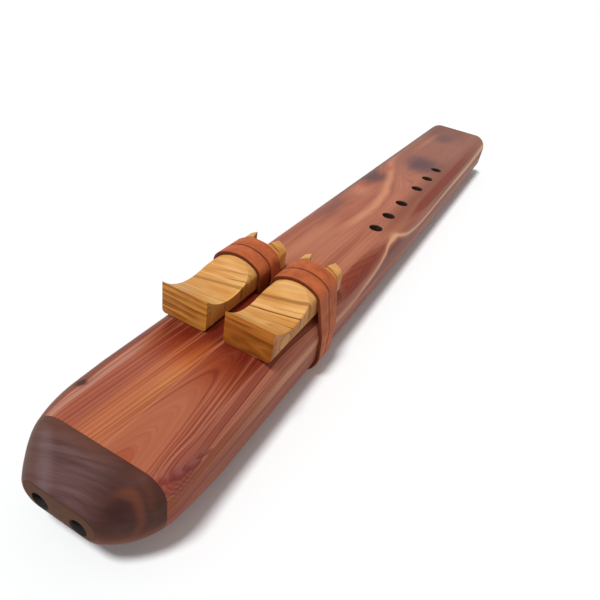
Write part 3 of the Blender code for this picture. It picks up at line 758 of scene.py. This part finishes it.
def nose_section(behind_seam):
    """Left, right, underside and top of the section at one place, and its edge radii."""
    left = nose_half_width(behind_seam, LEFT_NOSE_START, LEFT_NOSE_FULLNESS)
    right = nose_half_width(behind_seam, RIGHT_NOSE_START, RIGHT_NOSE_FULLNESS)
    forward = max(-behind_seam / CAP_LENGTH, 0.0)
    fall = (TOP - UNDERSIDE - FACE_HEIGHT) / 2
    top = TOP - (fall - FACE_RISE) * forward ** BEVEL_POWER
    chin = max(CHIN_START - behind_seam, 0.0) / (CHIN_START + CAP_LENGTH)
    bottom = UNDERSIDE + (fall + FACE_RISE) * (1.0 - math.sqrt(1.0 - chin ** 2))
    change = max(1.0 - max(behind_seam, 0.0) / SOFT_START, 0.0)
    largest = min(left, right, FULL_ROUND * (top - bottom))
    radii = []
    for at_seam in (RIGHT_EDGE_RADIUS, LEFT_EDGE_RADIUS, UNDER_EDGE_RADIUS):
        radius = EDGE_RADIUS + (at_seam - EDGE_RADIUS) * change
        radius += (FACE_EDGE_RADIUS - at_seam) * forward
        radii.append(min(radius, largest))
    return left, right, bottom, top, radii


def ring(section, y, inset=0.0):
    """A rounded rectangle across the body, drawn in on all sides, as points round its outline."""
    left, right, bottom, top, radii = section
    left_x, right_x, low, high = inset - left, right - inset, bottom + inset, top - inset
    right_round, left_round, under_round = [radius - inset for radius in radii]
    corners = ((right_x - right_round, high - right_round, right_round, 0.0),
               (left_x + left_round, high - left_round, left_round, 0.5),
               (left_x + under_round, low + under_round, under_round, 1.0),
               (right_x - under_round, low + under_round, under_round, 1.5))
    points = []
    for x, z, radius, turn in corners:
        arc = arc_points((x, z), radius, turn * math.pi, (turn + 0.5) * math.pi, EDGE_STEPS)
        points += [(px, y, pz) for px, pz in arc]
    return points


def round_off(radius):
    """How far in and how far back from an end its rounded edge lies, from the side to the end."""
    return arc_points((radius, radius), radius, math.pi, 1.5 * math.pi, END_STEPS)


def rim_profile(length, radius):
    """A straight hole with a softened rim at its start."""
    share = RIM_CHAMFER / length
    return (-share, radius + 2 * RIM_CHAMFER), (share, radius), (1.0, radius)


def make_body(cedar, bore):
    """The cedar body with its bores, holes, flues and strap slot."""
    rings = []
    for step in range(NOSE_STEPS + 1):
        behind = NOSE_END * step / NOSE_STEPS
        rings.append(ring(nose_section(behind), SEAM + max(behind, SEAM_GAP / 2)))
    for inset, back in round_off(FOOT_ROUND):
        rings.append(ring(nose_section(NOSE_END), FOOT - back, inset))
    body = mesh_object("cedar_body", loft_shape(rings), cedar, bore)
    cutters = []
    for side, sign in SIDES:
        bore_x, block_x = sign * BORE_X, sign * BLOCK_X
        half = SOUND_HOLE_WIDTH / 2
        sound_end = SOUND_HOLE_Y + SOUND_HOLE_LENGTH
        over = TOP + FLUE_DEPTH
        shapes = [
            ("bore", turned_shape((bore_x, FOOT, MIDDLE), (bore_x, SEAM - BORE_RADIUS, MIDDLE),
                                  rim_profile(FOOT - SEAM, BORE_RADIUS), ROUND_STEPS)),
            ("exit", box_shape((block_x - half, EXIT_START, MIDDLE), (block_x + half, EXIT_END, over))),
            ("sound", box_shape((block_x - half, SOUND_HOLE_Y, MIDDLE),
                                (block_x + half, sound_end, over))),
            ("flue", box_shape((block_x - half, (EXIT_START + EXIT_END) / 2, TOP - FLUE_DEPTH),
                               (block_x + half, (SOUND_HOLE_Y + sound_end) / 2, over))),
        ]
        for name, shape in shapes:
            cutters.append(mesh_object(f"{side}_{name}_cutter", shape, bore))
    cutters.append(mesh_object("slot_cutter", box_shape(
        (-SLOT_HALF_WIDTH, FIRST_TURN_Y - STRAP_WIDTH / 2 - CLEARANCE, -UNDERSIDE),
        (SLOT_HALF_WIDTH, SECOND_TURN_Y + STRAP_WIDTH / 2 + CLEARANCE, 2 * TOP)), bore))
    for index, behind in enumerate(FINGER_HOLES, 1):
        shape = turned_shape((BORE_X, SEAM + behind, TOP), (BORE_X, SEAM + behind, MIDDLE),
                             rim_profile(TOP - MIDDLE, FINGER_HOLE_RADIUS), HOLE_STEPS)
        cutters.append(mesh_object(f"finger_hole_{index}_cutter", shape, bore))
    carve(body, cutters)
    flat_normals(body)
    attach(body, "body")
    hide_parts("body_top", "body_bottom")


def make_mouthpiece(walnut, bore):
    """The walnut cap with its blow holes."""
    front = SEAM - CAP_LENGTH
    rings = []
    for inset, back in reversed(round_off(FACE_ROUND)):
        rings.append(ring(nose_section(back - CAP_LENGTH), front + back, inset))
    for step in range(1, NOSE_STEPS + 1):
        behind = (FACE_ROUND - CAP_LENGTH) * (1.0 - step / NOSE_STEPS)
        rings.append(ring(nose_section(behind), SEAM + min(behind, -SEAM_GAP / 2)))
    cap = mesh_object("walnut_mouthpiece", loft_shape(rings), walnut, bore)
    cutters = []
    for side, sign in SIDES:
        start = Vector((sign * BLOW_SPACING / 2, front, MIDDLE - BLOW_DROP))
        end = Vector((sign * (BORE_X - BORE_RADIUS + BLOW_RADIUS + CLEARANCE), SEAM, MIDDLE))
        reach = (end - start).length
        profile = ((-BLOW_PAST, BLOW_RADIUS + BLOW_PAST * reach), (BLOW_CHAMFER / reach, BLOW_RADIUS),
                   (1.0 + BLOW_PAST, BLOW_RADIUS))
        shape = turned_shape(start, end, profile, HOLE_STEPS)
        cutters.append(mesh_object(side + "_blow_cutter", shape, bore))
    carve(cap, cutters)
    flat_normals(cap)
    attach(cap, "body")
    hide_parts("mouthpiece")


def make_plug(side, sign, wood):
    """The plug between the two chambers of one bore, with eased ends."""
    radius = BORE_RADIUS - CLEARANCE
    ease = PLUG_EASE / PLUG_LENGTH
    profile = ((0.0, radius - PLUG_EASE), (ease, radius), (1 - ease, radius), (1.0, radius - PLUG_EASE))
    shape = turned_shape((sign * BORE_X, PLUG_START, MIDDLE), (sign * BORE_X, PLUG_END, MIDDLE),
                         profile, ROUND_STEPS)
    plug = mesh_object(side + "_plug_wood", shape, wood)
    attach(plug, "body")
    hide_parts(side + "_plug")


def crown_centres():
    """Height of the crown's centre, and the shoulder's centre, over a block's base and middle."""
    crown = SEAT_HEIGHT - CROWN_RADIUS
    shoulder_x = BLOCK_WIDTH / 2 - SHOULDER_RADIUS
    shoulder = crown + math.sqrt((CROWN_RADIUS - SHOULDER_RADIUS) ** 2 - shoulder_x ** 2)
    return crown, shoulder_x, shoulder


def sweep_points():
    """Side view of the block's hollow: two arcs that meet level at the lowest point."""
    fall = LIP_HEIGHT - SWEEP_LOW_HEIGHT
    rise = SEAT_HEIGHT - SWEEP_LOW_HEIGHT
    back = SEAT_START - SWEEP_LOW_AT
    front_radius = (SWEEP_LOW_AT ** 2 + fall ** 2) / (2 * fall)
    rear_radius = (back ** 2 + rise ** 2) / (2 * rise)
    down = -math.pi / 2
    front = arc_points((SWEEP_LOW_AT, SWEEP_LOW_HEIGHT + front_radius), front_radius,
                       down - math.asin(SWEEP_LOW_AT / front_radius), down, EDGE_STEPS)
    rear = arc_points((SWEEP_LOW_AT, SWEEP_LOW_HEIGHT + rear_radius), rear_radius,
                      down, down + math.asin(back / rear_radius), EDGE_STEPS)
    return front + rear[1:]


def shoulder_shapes(x):
    """What lies above the crowned seat and, farther up, above the horns at the rear."""
    crown, shoulder_x, shoulder = crown_centres()
    lean = math.atan2(shoulder_x, shoulder - crown)
    up = math.pi / 2
    points = []
    for px, pz, radius, start, end in ((shoulder_x, shoulder, SHOULDER_RADIUS, 0.0, up - lean),
                                       (0.0, crown, CROWN_RADIUS, up - lean, up + lean),
                                       (-shoulder_x, shoulder, SHOULDER_RADIUS, up + lean, math.pi)):
        points += arc_points((px, pz), radius, start, end, EDGE_STEPS)[1 if points else 0:]
    points += [(-BLOCK_WIDTH, shoulder), (-BLOCK_WIDTH, 2 * SEAT_HEIGHT),
               (BLOCK_WIDTH, 2 * SEAT_HEIGHT), (BLOCK_WIDTH, shoulder)]
    shapes = []
    for end, lift in ((NOTCH_BOTTOM + HORN_SETBACK, 0.0), (2 * BLOCK_LENGTH, HORN_RISE)):
        outline = [(x + px, BLOCK_Y + SWEEP_LOW_AT, BLOCK_BASE + pz + lift) for px, pz in points]
        shapes.append(prism_shape(outline, (0.0, end - SWEEP_LOW_AT, 0.0)))
    return shapes


def notch_shape(x):
    """The U-shaped notch in a block's rear end, between the horns."""
    inner = NOTCH_WIDTH / 2 - NOTCH_CORNER
    mouth = (NOTCH_WIDTH + NOTCH_FLARE) / 2
    corner = NOTCH_BOTTOM + NOTCH_CORNER
    points = arc_points((-inner, corner), NOTCH_CORNER, math.pi, 1.5 * math.pi, EDGE_STEPS)
    points += arc_points((inner, corner), NOTCH_CORNER, 1.5 * math.pi, 2 * math.pi, EDGE_STEPS)
    points += [(mouth, BLOCK_LENGTH), (mouth, 2 * BLOCK_LENGTH), (-mouth, 2 * BLOCK_LENGTH),
               (-mouth, BLOCK_LENGTH)]
    outline = [(x + px, BLOCK_Y + py, BLOCK_BASE - SEAT_HEIGHT) for px, py in points]
    return prism_shape(outline, (0.0, 0.0, 3 * SEAT_HEIGHT))


def make_block(side, sign, wood):
    """One carved block: a swept hollow, a crowned strap seat and a notch between two horns."""
    x = sign * BLOCK_X
    tall = SEAT_HEIGHT + HORN_RISE
    profile = [(0.0, 0.0)] + sweep_points() + [(NOTCH_BOTTOM, SEAT_HEIGHT), (NOTCH_BOTTOM, tall),
                                               (BLOCK_LENGTH, tall), (BLOCK_LENGTH, 0.0)]
    outline = [(x - BLOCK_WIDTH / 2, BLOCK_Y + py, BLOCK_BASE + pz) for py, pz in profile]
    block = mesh_object(side + "_carved_block", prism_shape(outline, (BLOCK_WIDTH, 0.0, 0.0)), wood)
    shape = bmesh.new()
    shape.from_mesh(block.data)
    low_edges = [edge for edge in shape.edges
                 if abs(edge.verts[0].co.x - edge.verts[1].co.x) < BLOCK_EDGE
                 and max(vert.co.z for vert in edge.verts) < BLOCK_BASE + BLOCK_EDGE]
    bmesh.ops.bevel(shape, geom=low_edges, offset=BLOCK_LOW_ROUND, segments=END_STEPS, profile=0.5,
                    affect="EDGES")
    shape.to_mesh(block.data)
    shape.free()
    cutters = (*shoulder_shapes(x), notch_shape(x))
    carve(block, [mesh_object(side + "_cutter", cutter, wood) for cutter in cutters])
    ease = block.modifiers.new("eased_edges", "BEVEL")
    ease.width = BLOCK_EDGE
    ease.segments = EASE_STEPS
    ease.limit_method = "ANGLE"
    ease.angle_limit = BLOCK_EASED_OVER
    settle(block, BLOCK_SHARP)
    flat_normals(block)
    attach(block, side + "_block")
    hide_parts(side + "_block")


def belt(rounds, step_angle):
    """Points of a belt pulled clockwise over circles (x, z, radius); a radius of 0 is a point."""
    normals = []
    for (x1, z1, r1), (x2, z2, r2) in zip(rounds, rounds[1:]):
        span = math.hypot(x2 - x1, z2 - z1)
        share = max(-1.0, min(1.0, (r1 - r2) / span))
        normals.append(math.atan2(z2 - z1, x2 - x1) + math.acos(share))
    points = [(rounds[0][0], rounds[0][1])]
    for index, (x, z, radius) in enumerate(rounds[1:-1]):
        start, end = normals[index], normals[index + 1]
        sweep = (start - end) % (2 * math.pi)
        steps = max(1, math.ceil(sweep / step_angle))
        points += arc_points((x, z), radius, start, start - sweep, steps)
    points.append((rounds[-1][0], rounds[-1][1]))
    return points


def strap_turn(y, rise_x, end_x, end_z):
    """One turn: up out of the slot, over the block, round the body and back into the slot."""
    crown, shoulder_x, shoulder = crown_centres()
    shoulder_round = SHOULDER_RADIUS + STRAP_OFFSET
    edge_round = EDGE_RADIUS + STRAP_OFFSET
    edge_x = HALF_WIDTH - EDGE_RADIUS
    rounds = [
        (rise_x, TOP, 0.0),
        (BLOCK_X - shoulder_x, BLOCK_BASE + shoulder, shoulder_round),
        (BLOCK_X, BLOCK_BASE + crown, CROWN_RADIUS + STRAP_OFFSET),
        (BLOCK_X + shoulder_x, BLOCK_BASE + shoulder, shoulder_round),
        (edge_x, TOP - EDGE_RADIUS, edge_round),
        (edge_x, UNDERSIDE + EDGE_RADIUS, edge_round),
        (end_x + STRAP_OFFSET, UNDERSIDE, STRAP_OFFSET),
        (end_x, end_z, 0.0),
    ]
    return [Vector((x, y, z)) for x, z in belt(rounds, STRAP_STEP)]


def strap_path():
    """The middle line of the right strap: two turns with both ends tucked into the slot."""
    tucked = Vector((OUTER_LAYER_X, FIRST_TURN_Y, TOP - STRAP_TAIL))
    first = strap_turn(FIRST_TURN_Y, OUTER_LAYER_X, INNER_LAYER_X, UNDERSIDE + STRAP_OFFSET)
    second = strap_turn(SECOND_TURN_Y, INNER_LAYER_X, OUTER_LAYER_X, UNDERSIDE + STRAP_TAIL)
    return [tucked] + first + second


def strap_section():
    """The strap cut across, as (across, outward) points round its eased corners."""
    across, out = STRAP_WIDTH / 2 - STRAP_EDGE, HALF_STRAP - STRAP_EDGE
    points = []
    for cx, cz, turn in ((across, out, 0.0), (-across, out, 0.5),
                         (-across, -out, 1.0), (across, -out, 1.5)):
        points += arc_points((cx, cz), STRAP_EDGE, turn * math.pi, (turn + 0.5) * math.pi, EASE_STEPS)
    return points


def make_strap(side, sign, face, edge):
    """One leather strap: a band along its route, gathered toward its rear edge on the way down."""
    path = strap_path()
    rear = SECOND_TURN_Y + STRAP_WIDTH / 2
    section = strap_section()
    rings = []
    for index, here in enumerate(path):
        before, after = path[max(index - 1, 0)], path[min(index + 1, len(path) - 1)]
        along = (after - before).normalized()
        out = Vector((-along.z, 0.0, along.x)).normalized()
        down = (GATHER_TOP - here.z) / GATHER_FALL
        narrow = 1.0 - STRAP_GATHER * min(max(down, 0.0), 1.0)
        points = [here + Vector((0.0, across, 0.0)) + out * thick for across, thick in section]
        rings.append([Vector((sign * p.x, rear + (p.y - rear) * narrow, p.z)) for p in points])
    bm = loft_shape(rings)
    bm.normal_update()
    for skin in bm.faces:
        if abs(skin.normal.y) > CUT_FACING:
            skin.material_index = 1
    strap = mesh_object(side + "_leather_strap", bm, face, edge)
    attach(strap, "body")
    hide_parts(side + "_strap")


def seen_rays(tree):
    """1 for what the camera sees, directly or in a gloss or through glass; 0 for light on the object."""
    rays = tree.nodes.new("ShaderNodeLightPath")
    seen = rays.outputs["Is Camera Ray"]
    for kind in ("Is Glossy Ray", "Is Transmission Ray"):
        either = tree.nodes.new("ShaderNodeMath")
        either.operation = "MAXIMUM"
        tree.links.new(seen, either.inputs[0])
        tree.links.new(rays.outputs[kind], either.inputs[1])
        seen = either.outputs[0]
    return seen


def make_floor():
    """A pale floor that keeps the shadow."""
    bm = bmesh.new()
    bmesh.ops.create_grid(bm, x_segments=1, y_segments=1, size=FLOOR_REACH)
    g = Graph("pale_floor")
    floor = mesh_object("floor", bm, g.material)
    g.shader.inputs["Base Color"].default_value = (*FLOOR_COLOUR, 1.0)
    g.shader.inputs["Roughness"].default_value = FLOOR_ROUGHNESS
    g.shader.inputs["Specular IOR Level"].default_value = 0.0
    g.shader.inputs["Emission Color"].default_value = (1.0, 1.0, 1.0, 1.0)
    g.feed(g.shader.inputs["Emission Strength"], Term(g, seen_rays(g.tree)) * FLOOR_GLOW)


def make_light():
    """Surroundings that look white and give a soft fill light, and a soft key light."""
    world = bpy.data.worlds.new("studio")
    world.use_nodes = True
    bpy.context.scene.world = world
    nodes, links = world.node_tree.nodes, world.node_tree.links
    light = nodes["Background"]
    white = nodes.new("ShaderNodeBackground")
    for shade, strength in ((light, FILL_LIGHT), (white, 1.0)):
        shade.inputs["Color"].default_value = (1.0, 1.0, 1.0, 1.0)
        shade.inputs["Strength"].default_value = strength
    choose = nodes.new("ShaderNodeMixShader")
    links.new(seen_rays(world.node_tree), choose.inputs[0])
    links.new(light.outputs[0], choose.inputs[1])
    links.new(white.outputs[0], choose.inputs[2])
    links.new(choose.outputs[0], nodes["World Output"].inputs["Surface"])

    lamp = bpy.data.lights.new("key", "SUN")
    lamp.energy = KEY_LIGHT
    lamp.angle = KEY_SPREAD
    key = bpy.data.objects.new("key", lamp)
    key.rotation_euler = Vector(KEY_DIRECTION).to_track_quat("-Z", "Y").to_euler()
    bpy.context.scene.collection.objects.link(key)


def make_camera():
    """The photograph's viewpoint."""
    lens = bpy.data.cameras.new("camera")
    lens.lens = CAMERA_LENS
    lens.sensor_width = SENSOR_WIDTH
    lens.clip_start = NEAREST_SEEN
    camera = bpy.data.objects.new("camera", lens)
    camera.location = CAMERA_PLACE
    level = math.cos(CAMERA_ELEVATION)
    look = Vector((-math.sin(CAMERA_AZIMUTH) * level, math.cos(CAMERA_AZIMUTH) * level,
                   -math.sin(CAMERA_ELEVATION)))
    roll = Quaternion((0.0, 0.0, 1.0), CAMERA_ROLL)
    camera.rotation_mode = "QUATERNION"
    camera.rotation_quaternion = look.to_track_quat("-Z", "Y") @ roll
    bpy.context.scene.collection.objects.link(camera)
    bpy.context.scene.camera = camera


cedar, walnut = cedar_material(), walnut_material()
plug_wood = plain_material("plug_wood", srgb(196, 150, 104), srgb(160, 112, 72), 0.8, 0.65, 0.3)
# Painted shade: the insides of the bores, finger holes, flues and slot, and of the blow holes below, are
# coloured dark.
bore = plain_material("bore_painted_shade", srgb(50, 36, 30), srgb(66, 47, 38))
blow_hole = plain_material("blow_hole_painted_shade", srgb(30, 27, 27), srgb(42, 36, 34))
leather = leather_material("leather", srgb(194, 104, 60), srgb(160, 78, 44))
cut_leather = leather_material("leather_cut_edge", srgb(136, 70, 42), srgb(108, 52, 30))
make_body(cedar, bore)
make_mouthpiece(walnut, blow_hole)
for side, sign in SIDES:
    block_origin = (sign * BLOCK_X, BLOCK_Y, BLOCK_BASE)
    olive = olive_material(side + "_olive_wood", block_origin, **BLOCK_FIGURE[side])
    make_plug(side, sign, plug_wood)
    make_block(side, sign, olive)
    make_strap(side, sign, leather, cut_leather)
make_floor()
make_light()
make_camera()
bpy.context.scene.view_settings.view_transform = "Standard"
